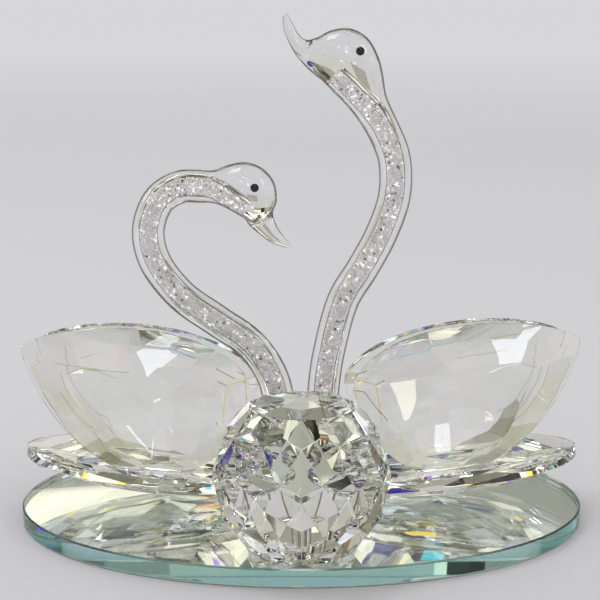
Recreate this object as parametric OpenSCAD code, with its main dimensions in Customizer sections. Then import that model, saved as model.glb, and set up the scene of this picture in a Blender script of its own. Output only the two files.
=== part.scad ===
// Two crystal swans facing each other on an oval mirror plate, with a cut
// crystal ball standing in front of them. Each swan is a leaf shaped body,
// two leaf shaped wings and a blown neck filled with crystal chips, all
// bonded with clear adhesive. Left and right are the viewer's.
// Front is -Y, up is +Z, and the plate's underside lies on z = 0.

/* [Plate] */
// Plate length, side to side
plate_w = 180; // [150:1:220]
// Plate depth, front to back
plate_d = 124; // [100:1:150]
// Thickness of the clear glass of the plate
plate_t = 5.7; // [4:0.1:10]
// Width of the ground arris round the top and bottom rim
arris = 0.5; // [0.3:0.1:1.2]
// Thickness of the silver layer
silver_t = 0.1; // [0.05:0.01:0.2]
// Thickness of the paint behind the silver
paint_t = 0.2; // [0.1:0.05:0.4]
// How far the silver and paint stop short of the plate's rim
coat_inset = 0.4; // [0.2:0.1:2]

/* [Ball] */
// Radius of the sphere the ball's corners lie on
ball_r = 26.4; // [20:0.2:30]
// Facets in one row round the ball
ball_sides = 12; // [8:1:16]
// Radius of the ball's flat foot, as a share of ball_r
foot_share = 0.26; // [0.2:0.01:0.35]
// Radius of the ball's flat top, as a share of ball_r
top_share = 0.33; // [0.25:0.01:0.42]
// Height of the ball's centre over its foot, as a share of ball_r
drop_share = 0.82; // [0.75:0.01:0.9]
// Height of the flat top over the ball's centre, as a share of ball_r
rise_share = 0.81; // [0.72:0.01:0.86]
// Clear distance between the ball and the bodies behind it
ball_gap = 4.2; // [2:0.2:12]

/* [Bodies] */
// Length of a body along its own axis
body_len = 88.5; // [70:0.5:92]
// Width of a body
body_w = 42; // [34:0.5:48]
// Thickness of a body's rim
body_rim = 4; // [3:0.2:6]
// Height of the flat top over the upper edge of the rim
body_crown = 0.6; // [0.3:0.1:2]
// Angle the tail is raised by
body_tilt = 6.6; // [4:0.2:10]
// Height of a body's rim over the plate, at the middle of its length
body_lift = 8.7; // [7.5:0.1:12]
// Distance of the swans' centre line behind the plate's centre
swan_back = 8; // [4:0.5:14]
// Gap between the two chests
chest_gap = 4; // [3:0.5:12]

/* [Wings] */
// Length of a wing, root to tip
wing_len = 73.5; // [60:0.5:78]
// How far a wing bulges above the line from root to tip
wing_up = 13; // [10:0.5:15]
// How far a wing bulges below the line from root to tip
wing_down = 33.5; // [28:0.5:35]
// Thickness of a wing's rim
wing_rim = 2.6; // [2:0.1:4]
// How far the faceted faces rise over the rim on each side
wing_swell = 3.4; // [2:0.1:5]
// Distance of a wing's foot from the swan's centre line
wing_spread = 12.5; // [11:0.5:14]
// Angle the wings lean towards each other
wing_lean = 10; // [6:0.5:12]
// Angle the wing tips turn away from each other
wing_yaw = 4; // [0:0.5:6]
// Angle the left swan's wings rise towards the tip
left_wing_pitch = 12; // [9:0.5:15]
// Angle the right swan's wings rise towards the tip
right_wing_pitch = 14; // [11:0.5:17]
// How far the rear wings sit nearer the necks than the front ones
rear_wing_in = 2.5; // [0:0.5:4]
// How much lower the rear wings sit than the front ones
rear_wing_drop = 2.5; // [0:0.5:4]

/* [Necks and heads] */
// Outside diameter of a neck
neck_d = 10.5; // [9:0.1:12]
// Diameter of the bore that holds the chips
bore_d = 6; // [4.5:0.1:7.5]
// Clearance between the chips and the bore
chip_gap = 0.15; // [0.1:0.05:0.4]
// Half width of a head across the eyes
head_half = 8; // [6.5:0.1:9]
// Diameter of an eye
eye_d = 2.7; // [2:0.1:3.5]

/* [Adhesive] */
// Thickness of the clear adhesive in every joint
glue_t = 0.3; // [0.2:0.05:0.5]

/* [Hidden] */
$fn = 72;
sides = 16;
top_z = plate_t + silver_t + paint_t;
ball_front = ball_r + ball_gap + body_w / 2 - swan_back;
ball_drop = ball_r * drop_share;
ball_rise = ball_r * rise_share;
ball_foot_r = ball_r * foot_share;
// The plate sits back by half of what the ball overhangs its front edge, so
// that the origin is the middle of the whole.
plate_y = max(0, (ball_front + ball_r - plate_d / 2) / 2);
swan_y = plate_y + swan_back;
ball_y = plate_y - ball_front;
ball_z = top_z + glue_t + ball_drop;
body_half = body_len / 2;
body_x = chest_gap / 2 + body_half * cos(body_tilt);
body_z = top_z + body_lift;
deck = body_rim / 2 + body_crown;

// Centre lines of the necks in the swans' upright plane, [x, height over the
// plate], from the foot up to where the chips end inside the head.
left_path = [[-11.5, 4.5], [-8.2, 14], [-7, 25], [-9.3, 38], [-16.5, 49],
  [-27.5, 57], [-38.5, 65], [-46.5, 75.5], [-48.8, 86], [-45.5, 95.5],
  [-39, 100], [-32.8, 100.4], [-27.2, 99.6], [-21.8, 97.2], [-17, 93.8]];
right_path = [[12, 4.5], [8.6, 13], [6.9, 22.5], [7.1, 33], [8.8, 46],
  [13.2, 63], [19.6, 74], [25.4, 85], [29.4, 97], [29.4, 108.5],
  [26.1, 117.5], [21.8, 124.6], [16.4, 131], [11, 136.4]];
// The path point where each head begins.
left_head_at = 11;
right_head_at = 10;

// Heads and beaks as stations from the neck to the beak's tip: x and height
// over the plate of the outline's point on the left hand of the way, the same
// for the right hand, and the half width as a share of head_half.
left_head_st = [[-27.9, 105.5, -28.4, 95.1, 0.68], [-23.2, 107.2, -25.2, 94.1, 0.84],
  [-17.8, 108.1, -22, 92.4, 0.97], [-12.4, 106.2, -19.5, 90.9, 1],
  [-8.6, 101.8, -17.9, 89.8, 0.9], [-7.7, 96, -17.2, 88.7, 0.7],
  [-9, 91.8, -16.3, 87.6, 0.45], [-7.8, 87.7, -13.8, 85.4, 0.34],
  [-5.2, 83.8, -9.4, 82.2, 0.22], [-3, 81, -4, 80.5, 0.05]];
right_head_st = [[17.7, 121.3, 26.8, 128.5, 0.74], [13.6, 126.3, 25.6, 135, 0.88],
  [9.5, 130.4, 24.1, 140.8, 0.98], [6.4, 133.5, 20.6, 146.7, 1],
  [4.2, 135.2, 15, 149.7, 0.92], [2.2, 136.9, 9.2, 149.1, 0.74],
  [0.2, 139, 4.6, 146.8, 0.5], [-1.9, 141.6, 1.4, 146.2, 0.36],
  [-3.8, 145, -0.9, 147.9, 0.28], [-5.5, 149.3, -2.7, 151.1, 0.2],
  [-5.8, 153.3, -4.4, 154.2, 0.09]];

// ---- smooth curves through hand chosen points ----
function at(p, i) = p[max(0, min(len(p) - 1, i))];
function spline(a, b, c, d, t) = 0.5 * (2 * b + (c - a) * t
  + (2 * a - 5 * b + 4 * c - d) * t * t + (3 * b - a - 3 * c + d) * t * t * t);
function smooth(p, n) = [for (i = [0:len(p) - 2]) for (k = [0:n - 1])
  spline(at(p, i - 1), p[i], p[i + 1], at(p, i + 2), k / n), p[len(p) - 1]];
function part_of(p, a, b) = [for (i = [a:b]) p[i]];
function turned(p) = [for (i = [len(p) - 1:-1:0]) p[i]];

// ---- rings of points for tubes and heads ----
// A round ring about point i of a centre line, square to the line.
function round_ring(p, i, r, y) = let(
  d = at(p, i + 1) - at(p, i - 1),
  e = [-d[1], d[0]] / norm(d))
  [for (k = [0:sides - 1]) let(a = 360 * k / sides)
    [p[i][0] + e[0] * r * cos(a), y + r * sin(a), p[i][1] + e[1] * r * cos(a)]];
// An oval ring between the two outline points of a station.
function oval_ring(s, y, half) = let(
  c = [s[0] + s[2], s[1] + s[3]] / 2,
  e = [s[0] - s[2], s[1] - s[3]] / 2)
  [for (k = [0:sides - 1]) let(a = 360 * k / sides)
    [c[0] + e[0] * cos(a), y + half * s[4] * sin(a), c[1] + e[1] * cos(a)]];

// ---- solids from rings ----
function strip(a, b, flip) = [for (k = [0:sides - 1]) let(
  m = (k + 1) % sides,
  q = [a + k, a + m, b + m, b + k])
  each (flip ? [[q[0], q[2], q[1]], [q[0], q[3], q[2]]]
    : [[q[0], q[1], q[2]], [q[0], q[2], q[3]]])];
function skin(n, base, flip) = [for (i = [0:n - 2])
  each strip(base + i * sides, base + (i + 1) * sides, flip)];
function cap(base, flip) = [flip ? [for (k = [sides - 1:-1:0]) base + k]
  : [for (k = [0:sides - 1]) base + k]];
function flat(rings) = [for (r = rings) each r];

// A solid rod through rings; flip turns all faces the other way.
module rod(rings, flip) {
  n = len(rings);
  polyhedron(points = flat(rings), convexity = 6,
    faces = [each skin(n, 0, flip), each cap(0, !flip),
      each cap((n - 1) * sides, flip)]);
}

// A cup: outer rings from the open end to the closed one, then the bore's.
module cup(outer, inner, flip) {
  n = len(outer);
  m = len(inner);
  b = n * sides;
  polyhedron(points = flat([each outer, each inner]), convexity = 8,
    faces = [each skin(n, 0, flip), each cap((n - 1) * sides, flip),
      each skin(m, b, !flip), each cap(b + (m - 1) * sides, !flip),
      each strip(0, b, !flip)]);
}

// A flat oval of half sizes a and b with n straight edges.
module oval(a, b, n) {
  polygon([for (k = [0:n - 1]) [a * cos(360 * k / n), b * sin(360 * k / n)]]);
}

// ---- plate ----
plate_edges = 144;
module plate_outline(inset) {
  oval(plate_w / 2 - inset, plate_d / 2 - inset, plate_edges);
}

module plate_glass() {
  color([0.72, 0.9, 0.86, 0.6])
    translate([0, plate_y, silver_t + paint_t])
      hull() {
        linear_extrude(height = plate_t)
          plate_outline(arris);
        translate([0, 0, arris])
          linear_extrude(height = plate_t - 2 * arris)
            plate_outline(0);
      }
}

module plate_silver() {
  color([0.8, 0.82, 0.83])
    translate([0, plate_y, paint_t])
      linear_extrude(height = silver_t)
        plate_outline(arris + coat_inset);
}

module plate_paint() {
  color([0.35, 0.36, 0.38])
    translate([0, plate_y, 0])
      linear_extrude(height = paint_t)
        plate_outline(arris + coat_inset);
}

// ---- ball ----
// Rows of corners on a sphere, [radius, height]. Each new row is set so that
// the four corners of every facet lie in one plane.
half_step = 180 / ball_sides;
function next_row(p, q) = let(
  m = [q[0] * cos(half_step), q[1]],
  d = m - p)
  p - 2 * (p * d) / (d * d) * d;
function rows(p, q, n) = n == 0 ? [p] : [p, each rows(q, next_row(p, q), n - 1)];
// Angles of the first two rows from the ball's axis, the number of rows, and
// the least height between a row and the flat top or foot.
first_row = 18;
second_row = 28;
row_count = 13;
row_gap = 1.5;
ball_rows = rows(ball_r * [sin(first_row), cos(first_row)],
  ball_r * [sin(second_row), cos(second_row)], row_count);

// Points of one row; odd rows stand half a step round from even ones.
function ball_ring(r, z, odd) = [for (k = [0:ball_sides - 1])
  let(a = (2 * k + odd) * half_step) [r * cos(a), r * sin(a), z]];

module ball() {
  pts = [each ball_ring(ball_r * top_share, ball_rise, 0),
    for (i = [0:len(ball_rows) - 1])
      if (ball_rows[i][1] > row_gap - ball_drop && ball_rows[i][1] < ball_rise - row_gap)
        each ball_ring(ball_rows[i][0], ball_rows[i][1], i % 2),
    each ball_ring(ball_foot_r, -ball_drop, 1)];
  color([0.86, 0.9, 0.93, 0.6])
    translate([0, ball_y, ball_z])
      hull()
        polyhedron(points = pts, faces = [[for (i = [0:len(pts) - 1]) i]]);
}

module ball_adhesive() {
  color([0.9, 0.95, 0.95, 0.5])
    translate([0, ball_y, top_z])
      cylinder(r = ball_foot_r - 0.5, h = glue_t);
}

// ---- bodies ----
// Outline of a body: u runs along it from -1 at the chest to 1 at the tail.
function leaf(u) = pow(max(0, 1 - pow(abs(u), 2.8)), 0.62);
function leaf_point(a, s, z) = [body_half * s * cos(a),
  body_w / 2 * s * sign(sin(a)) * (abs(sin(a)) < 0.001 ? 0 : leaf(cos(a))), z];
// Local height of a level that lies h over the plate, at x along the body.
function level(x, h) = (h - body_lift - x * sin(body_tilt)) / cos(body_tilt);
belly_x = -body_len * 0.13;
belly_l = body_len * 0.12;
belly_w = body_w * 0.17;

module body_solid() {
  top = [for (i = [0:23]) leaf_point(15 * i, 0.9, deck)];
  rim_a = [for (i = [0:23]) leaf_point(15 * i, 1, body_rim / 2)];
  rim_b = [for (i = [0:23]) leaf_point(15 * i, 1, -body_rim / 2)];
  low = [for (i = [0:11]) let(p = leaf_point(30 * i + 15, 0.66, 0))
    [p[0], p[1], max(-body_lift * 0.66, level(p[0], 1.3))]];
  foot = [for (i = [0:7]) let(x = belly_x + belly_l * cos(45 * i + 22.5))
    [x, belly_w * sin(45 * i + 22.5), level(x, glue_t)]];
  pts = [each top, each rim_a, each rim_b, each low, each foot];
  hull()
    polyhedron(points = pts, faces = [[for (i = [0:len(pts) - 1]) i]]);
}

// Puts a body shaped thing in place for the right swan.
module at_body() {
  translate([body_x, swan_y, body_z])
    rotate([0, -body_tilt, 0])
      children();
}

module mirrored_x(on) {
  if (on)
    mirror([1, 0, 0])
      children();
  else
    children();
}

module right_body() {
  color([0.84, 0.88, 0.86, 0.6])
    at_body()
      body_solid();
}

module left_body() {
  color([0.84, 0.88, 0.86, 0.6])
    mirrored_x(true)
      at_body()
        body_solid();
}

// ---- wings ----
// Outline of a wing: s runs from 0 at the root to 1 at the tip.
// Its edge rises fast at the root and runs out straighter at the tip, and
// shape sets how fast; a shape of the curve is always 1 at its highest.
function swell(s, shape) = let(m = shape / (shape + 0.76))
  pow(s, shape) * pow(max(0, 1 - s), 0.76) / (pow(m, shape) * pow(1 - m, 0.76));
function wing_point(a, k, y) = let(
  s = (1 - cos(a)) / 2,
  v = abs(sin(a)) < 0.001 ? 0
    : sin(a) > 0 ? wing_up * swell(s, 0.54) : -wing_down * swell(s, 0.46),
  c = [wing_len * 0.42, (wing_up - wing_down) / 2])
  [c[0] + (wing_len * s - c[0]) * k, y, c[1] + (v - c[1]) * k];

module wing_solid() {
  g = wing_rim / 2;
  rim = [for (i = [0:23]) for (y = [-g, g]) wing_point(15 * i, 1, y)];
  ring = [for (i = [0:11]) for (y = [-1, 1])
    wing_point(30 * i + (y < 0 ? 15 : 0), 0.74, y * (g + wing_swell * 0.62))];
  table = [for (i = [0:5]) for (y = [-1, 1])
    wing_point(60 * i + (y < 0 ? 30 : 0), 0.36, y * (g + wing_swell))];
  pts = [each rim, each ring, each table];
  hull()
    polyhedron(points = pts, faces = [[for (i = [0:len(pts) - 1]) i]]);
}

// Height of the wing's root over the deck, and its distance from the chest.
root_z = 24.5;
root_x = 16.8;

// side is -1 for the front wing and 1 for the rear one.
module wing_at(side, pitch) {
  translate([root_x - (side > 0 ? rear_wing_in : 0), swan_y,
    body_z + deck + root_z - (side > 0 ? rear_wing_drop : 0)])
    translate([0, side * (wing_spread - root_z * sin(wing_lean)), 0])
      rotate([0, 0, side * wing_yaw])
        rotate([side * wing_lean, 0, 0])
          rotate([0, -pitch, 0])
            wing_solid();
}

// The space over the deck, one layer of adhesive up, that a wing may fill.
module above_deck() {
  at_body()
    translate([-80, -60, deck + glue_t])
      cube([160, 120, 120]);
}

module wing(side, pitch) {
  intersection() {
    wing_at(side, pitch);
    above_deck();
  }
}

module left_front_wing() {
  color([0.88, 0.91, 0.9, 0.5])
    mirrored_x(true)
      wing(-1, left_wing_pitch);
}

module left_rear_wing() {
  color([0.88, 0.91, 0.9, 0.5])
    mirrored_x(true)
      wing(1, left_wing_pitch);
}

module right_front_wing() {
  color([0.88, 0.91, 0.9, 0.5])
    wing(-1, right_wing_pitch);
}

module right_rear_wing() {
  color([0.88, 0.91, 0.9, 0.5])
    wing(1, right_wing_pitch);
}

// ---- necks, chips and heads ----
fine = 3;
left_line = smooth(left_path, fine);
right_line = smooth(right_path, fine);
left_cut = left_head_at * fine;
right_cut = right_head_at * fine;

// Rings of a line from index a to b, a < b, listed from b down to a.
function down_rings(line, a, b, r) = turned([for (i = [a:b])
  round_ring(line, i, r, swan_y)]);

// Lifts what is drawn in heights over the plate onto it.
module on_plate() {
  translate([0, 0, top_z])
    children();
}

// A neck, closed below and ground flat where it stands on the deck.
module neck(line, cut, on_left) {
  intersection() {
    on_plate()
      cup(down_rings(line, 0, cut, neck_d / 2),
        down_rings(line, 2, cut, bore_d / 2), true);
    mirrored_x(on_left)
      above_deck();
  }
}

module chips(line) {
  on_plate()
    rod(down_rings(line, 2, len(line) - 1, bore_d / 2 - chip_gap), true);
}

module head(line, cut, stations) {
  first = round_ring(line, cut, neck_d / 2, swan_y);
  outer = [first, for (s = smooth(stations, 2)) oval_ring(s, swan_y, head_half)];
  bore = [for (i = [cut:len(line) - 1]) round_ring(line, i, bore_d / 2, swan_y)];
  on_plate()
    cup(outer, bore, false);
}

module left_neck() {
  color([0.93, 0.93, 0.95, 0.4])
    neck(left_line, left_cut, true);
}

module right_neck() {
  color([0.93, 0.93, 0.95, 0.4])
    neck(right_line, right_cut, false);
}

module left_chips() {
  color([0.9, 0.86, 0.88])
    chips(left_line);
}

module right_chips() {
  color([0.9, 0.86, 0.88])
    chips(right_line);
}

module left_head() {
  color([0.93, 0.93, 0.95, 0.4])
    head(left_line, left_cut, left_head_st);
}

module right_head() {
  color([0.93, 0.93, 0.95, 0.4])
    head(right_line, right_cut, right_head_st);
}

// An enamel dot on each side of a head.
module eyes(x, z, out) {
  for (side = [-1, 1])
    translate([x, swan_y + side * out, top_z + z])
      rotate([-90 * side, 0, 0])
        cylinder(d1 = eye_d, d2 = eye_d * 0.6, h = 0.7);
}

module left_eyes() {
  color([0.05, 0.05, 0.06])
    eyes(-14.6, 100.9, head_half * 0.96);
}

module right_eyes() {
  color([0.05, 0.05, 0.06])
    eyes(18, 143, head_half * 0.95);
}

// ---- adhesive of one swan: belly, two wings and neck ----
wing_pad = [11, 1.8];
pad_share = 0.85;
pad_edges = 24;

module pad(a, b) {
  linear_extrude(height = glue_t)
    oval(a, b, pad_edges);
}

module adhesive(wing_x, neck_x) {
  translate([body_x + belly_x * cos(body_tilt), swan_y, top_z])
    pad(belly_l * pad_share, belly_w * pad_share);
  for (side = [-1, 1])
    at_body()
      translate([wing_x - body_x, side * wing_spread, deck])
        pad(wing_pad[0], wing_pad[1]);
  at_body()
    translate([(neck_x - body_x) / cos(body_tilt), 0, deck])
      pad(neck_d / 2 * pad_share, neck_d / 2 * pad_share);
}

module left_adhesive() {
  color([0.9, 0.95, 0.95, 0.5])
    mirrored_x(true)
      adhesive(44, 10.8);
}

module right_adhesive() {
  color([0.9, 0.95, 0.95, 0.5])
    adhesive(44, 11.1);
}

plate_glass();
plate_silver();
plate_paint();
ball();
ball_adhesive();
left_body();
left_front_wing();
left_rear_wing();
left_neck();
left_chips();
left_head();
left_eyes();
left_adhesive();
right_body();
right_front_wing();
right_rear_wing();
right_neck();
right_chips();
right_head();
right_eyes();
right_adhesive();
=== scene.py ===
import math
import random

import bmesh
import bpy
from mathutils import Matrix, Vector


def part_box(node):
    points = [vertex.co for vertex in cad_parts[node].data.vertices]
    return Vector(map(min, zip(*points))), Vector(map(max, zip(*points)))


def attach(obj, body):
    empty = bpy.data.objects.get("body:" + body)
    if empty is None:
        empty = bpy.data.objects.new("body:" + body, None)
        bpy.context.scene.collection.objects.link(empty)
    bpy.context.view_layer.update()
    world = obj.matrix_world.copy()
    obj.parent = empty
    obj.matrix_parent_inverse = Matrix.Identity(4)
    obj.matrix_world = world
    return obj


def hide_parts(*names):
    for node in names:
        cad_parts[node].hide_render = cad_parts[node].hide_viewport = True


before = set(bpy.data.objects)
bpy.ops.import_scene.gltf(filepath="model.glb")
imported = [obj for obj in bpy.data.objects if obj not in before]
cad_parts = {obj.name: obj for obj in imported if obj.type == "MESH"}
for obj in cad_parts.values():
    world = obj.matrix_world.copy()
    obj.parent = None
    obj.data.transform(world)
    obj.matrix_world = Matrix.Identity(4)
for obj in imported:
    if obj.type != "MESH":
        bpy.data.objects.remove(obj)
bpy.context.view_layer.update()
print("frame loaded")

# Everything is modelled in millimetres and brought to metres as it is finished.
toMetres = Matrix.Scale(0.001, 4)
mirrorLeft = Matrix.Scale(-1, 4, (1, 0, 0))

plateLow, plateHigh = [corner * 1000 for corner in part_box("plate_glass")]
bodyLow, bodyHigh = [corner * 1000 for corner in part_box("right_body")]
ballLow, ballHigh = [corner * 1000 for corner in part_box("ball")]
neckLow, neckHigh = [corner * 1000 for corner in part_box("right_neck")]
plateTop = plateHigh.z
swanY = (neckLow.y + neckHigh.y) / 2


# ---- camera ----

camera = {"lens": 90, "sensor": 36, "place": (-0.00045, -0.460, 0.1696), "down": 11.961}

cameraData = bpy.data.cameras.new("camera")
cameraData.lens = camera["lens"]
cameraData.sensor_width = camera["sensor"]
cameraObject = bpy.data.objects.new("camera", cameraData)
cameraObject.location = camera["place"]
cameraObject.rotation_euler = (math.radians(90 - camera["down"]), 0, 0)
bpy.context.scene.collection.objects.link(cameraObject)
bpy.context.scene.camera = cameraObject


# ---- helpers for modelling ----

cutting = {"keen": 0.0005, "weld": 0.02}  # how near counts as on the plane, and as the same corner


def deselectAll():
    for other in bpy.context.selected_objects:
        other.select_set(False)


def editMode(on):
    bpy.ops.object.mode_set(mode="EDIT" if on else "OBJECT")


def selectAll():
    bpy.ops.mesh.select_all(action="SELECT")


def growSlab(name, corners, along):
    deselectAll()
    bpy.ops.mesh.primitive_circle_add(vertices=len(corners), radius=1, fill_type="NGON")
    slab = bpy.context.object
    slab.name = name
    for vertex, corner in zip(slab.data.vertices, corners):
        vertex.co = corner
    editMode(True)
    selectAll()
    bpy.ops.mesh.extrude_region_move(TRANSFORM_OT_translate={"value": along})
    selectAll()
    bpy.ops.mesh.normals_make_consistent(inside=False)
    return slab


def cutFacet(a, b, c, inside):  # takes away what lies beyond the plane through a, b and c
    a, b, c, inside = Vector(a), Vector(b), Vector(c), Vector(inside)
    outwards = (b - a).cross(c - a).normalized()
    if outwards.dot(inside - a) > 0:
        outwards.negate()
    selectAll()
    bpy.ops.mesh.bisect(plane_co=a, plane_no=outwards, use_fill=True, clear_outer=True,
                        threshold=cutting["keen"])


def polishEdges(piece, width, sharpness):
    selectAll()
    bpy.ops.mesh.remove_doubles(threshold=cutting["weld"])
    bpy.ops.mesh.select_all(action="DESELECT")
    bpy.ops.mesh.select_mode(type="EDGE")
    bpy.ops.mesh.edges_select_sharp(sharpness=math.radians(sharpness))
    bpy.ops.mesh.bevel(offset=width, segments=1, affect="EDGES", clamp_overlap=False)
    selectAll()
    bpy.ops.mesh.normals_make_consistent(inside=False)
    # fine bevels can turn the whole shape inside out
    if bmesh.from_edit_mesh(piece.data).calc_volume(signed=True) < 0:
        bpy.ops.mesh.flip_normals()
    bpy.ops.mesh.select_mode(type="VERT")
    editMode(False)


def shadeByAngle(piece, angle):
    deselectAll()
    piece.select_set(True)
    bpy.context.view_layer.objects.active = piece
    bpy.ops.object.shade_smooth_by_angle(angle=math.radians(angle))


def putInPlace(piece, matrix, mirrored=False):
    piece.data.transform(toMetres @ (mirrorLeft if mirrored else Matrix()) @ matrix)
    if mirrored:
        piece.data.flip_normals()
    piece.data.update()


def handOver(piece, slot, *nodes):
    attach(piece, "root")
    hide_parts(*nodes)


def paintFacetLight(piece, darkestPaintedShade, paintedFlashes, seed):  # painted shade for each facet, with painted flashes of colour, kept as a colour attribute
    tint = piece.data.attributes.new("paintedFacetLight", "FLOAT_COLOR", "CORNER")
    for face in piece.data.polygons:
        key = " ".join(f"{value:.1f}" for value in face.normal * crystal["tell"])
        draw = random.Random(f"{seed} {key}")
        # each facet's painted shade lies between the clear tint and the darkest painted one
        depth = draw.uniform(0, 1) ** crystal["rare"]
        colour = [clear + (paintedShade - clear) * depth for clear, paintedShade in zip(crystal["clear"], darkestPaintedShade)]
        for place, reach, largest, share, names in paintedFlashes:  # painted flashes of fire and dark reflections near these places
            if (face.center - Vector(place)).length < reach and face.area < largest and draw.random() < share:
                colour = paintedFlashTones[draw.choice(names)]
                break
        for corner in face.loop_indices:
            tint.data[corner].color = (*colour, 1)


# ---- helpers for materials ----

marksLook = {"detail": 4.0, "roughness": 0.6, "dustDetail": 2.0, "dustFiner": 9, "from": 0.45, "to": 0.75,
             "reliefDepth": 0.0001}


def newMaterial(name):
    material = bpy.data.materials.new(name)
    material.use_nodes = True
    tree = material.node_tree
    return material, tree, tree.nodes["Principled BSDF"]


def addNode(tree, kind, **values):
    node = tree.nodes.new("ShaderNode" + kind)
    for name, value in values.items():
        if hasattr(node, name):
            setattr(node, name, value)
        else:
            node.inputs[name.replace("_", " ")].default_value = value
    return node


def setInputs(node, values):
    for name, value in values.items():
        node.inputs[name].default_value = value


def twoTones(tree, first, second):  # a colour ramp between two stops, each a position and a colour
    shades = addNode(tree, "ValToRGB")
    for stop, (position, colour) in zip(shades.color_ramp.elements, (first, second)):
        stop.position, stop.color = position, (*colour, 1)
    return shades


def buildHandlingMarks():
    group = bpy.data.node_groups.new("handlingMarks", "ShaderNodeTree")
    face = group.interface
    face.new_socket("Vector", in_out="INPUT", socket_type="NodeSocketVector")
    face.new_socket("Scale", in_out="INPUT", socket_type="NodeSocketFloat")
    face.new_socket("Clean", in_out="INPUT", socket_type="NodeSocketFloat")
    face.new_socket("Smudged", in_out="INPUT", socket_type="NodeSocketFloat")
    face.new_socket("Roughness", in_out="OUTPUT", socket_type="NodeSocketFloat")
    face.new_socket("Height", in_out="OUTPUT", socket_type="NodeSocketFloat")
    into = group.nodes.new("NodeGroupInput")
    out = group.nodes.new("NodeGroupOutput")
    noise = addNode(group, "TexNoise", Detail=marksLook["detail"], Roughness=marksLook["roughness"])
    dust = addNode(group, "TexNoise", Detail=marksLook["dustDetail"])
    larger = addNode(group, "Math", operation="MULTIPLY")
    larger.inputs[1].default_value = marksLook["dustFiner"]
    spread = addNode(group, "MapRange")
    setInputs(spread, {"From Min": marksLook["from"], "From Max": marksLook["to"]})
    link = group.links.new
    link(into.outputs["Vector"], noise.inputs["Vector"])
    link(into.outputs["Scale"], noise.inputs["Scale"])
    link(into.outputs["Vector"], dust.inputs["Vector"])
    link(into.outputs["Scale"], larger.inputs[0])
    link(larger.outputs[0], dust.inputs["Scale"])
    link(noise.outputs["Fac"], spread.inputs["Value"])
    link(into.outputs["Clean"], spread.inputs["To Min"])
    link(into.outputs["Smudged"], spread.inputs["To Max"])
    link(spread.outputs["Result"], out.inputs["Roughness"])
    link(dust.outputs["Fac"], out.inputs["Height"])
    return group


handlingMarks = buildHandlingMarks()


def addMarks(tree, shader, scale, clean, smudged, bump=0.0):
    where = addNode(tree, "TexCoord")
    marks = tree.nodes.new("ShaderNodeGroup")
    marks.node_tree = handlingMarks
    setInputs(marks, {"Scale": scale, "Clean": clean, "Smudged": smudged})
    tree.links.new(where.outputs["Object"], marks.inputs["Vector"])
    tree.links.new(marks.outputs["Roughness"], shader.inputs["Roughness"])
    if bump:
        relief = addNode(tree, "Bump", Strength=bump, Distance=marksLook["reliefDepth"])
        tree.links.new(marks.outputs["Height"], relief.inputs["Height"])
        tree.links.new(relief.outputs["Normal"], shader.inputs["Normal"])
    return marks


def addContacts(tree, shader, patches):  # where clear adhesive joins two pieces, the glass has no surface
    where = addNode(tree, "TexCoord")
    last = None
    for centre, turn, reach in patches:
        patch = addNode(tree, "Mapping", vector_type="TEXTURE")
        setInputs(patch, {"Location": centre, "Rotation": turn, "Scale": reach})
        far = addNode(tree, "VectorMath", operation="LENGTH")
        beyond = addNode(tree, "Math", operation="GREATER_THAN")
        beyond.inputs[1].default_value = 1
        tree.links.new(where.outputs["Object"], patch.inputs["Vector"])
        tree.links.new(patch.outputs["Vector"], far.inputs[0])
        tree.links.new(far.outputs["Value"], beyond.inputs[0])
        if last is not None:
            both = addNode(tree, "Math", operation="MULTIPLY")
            tree.links.new(last, both.inputs[0])
            tree.links.new(beyond.outputs[0], both.inputs[1])
            last = both.outputs[0]
        else:
            last = beyond.outputs[0]
    tree.links.new(last, shader.inputs["Alpha"])


# ---- plate: clear glass with a ground arris, silvered and painted below ----

plate = {
    "edges": 288, "arris": 0.5, "ior": 1.52, "sink": 0.03,
    "sharpFrom": 40, "smoothTo": 20, "arrisLean": (0.2, 0.95),  # how far the ground faces may point up or down
    "tint": (0.57, 0.87, 0.85), "density": 13,
    "markScale": 40, "clean": 0.0, "smudged": 0.02, "arrisRoughness": 0.35,
}


def ovalCorners(centre, halfX, halfY, height, count):
    return [(centre.x + halfX * math.cos(2 * math.pi * k / count),
             centre.y + halfY * math.sin(2 * math.pi * k / count), height) for k in range(count)]


def cutPlate():
    centre = (plateLow + plateHigh) / 2
    half = (plateHigh - plateLow) / 2
    corners = ovalCorners(centre, half.x, half.y, plateLow.z, plate["edges"])
    piece = growSlab("oval_plate", corners, (0, 0, 2 * half.z))
    bpy.ops.mesh.select_all(action="DESELECT")
    bpy.ops.mesh.select_mode(type="EDGE")
    bpy.ops.mesh.edges_select_sharp(sharpness=math.radians(plate["sharpFrom"]))
    bpy.ops.mesh.bevel(offset=plate["arris"], segments=1, affect="EDGES")
    bpy.ops.mesh.select_mode(type="VERT")
    editMode(False)
    ground = piece.data.attributes.new("arris", "FLOAT", "FACE")
    least, most = plate["arrisLean"]
    for face in piece.data.polygons:
        ground.data[face.index].value = 1.0 if least < abs(face.normal.z) < most else 0.0
    shadeByAngle(piece, plate["smoothTo"])
    putInPlace(piece, Matrix())
    return piece


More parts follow.
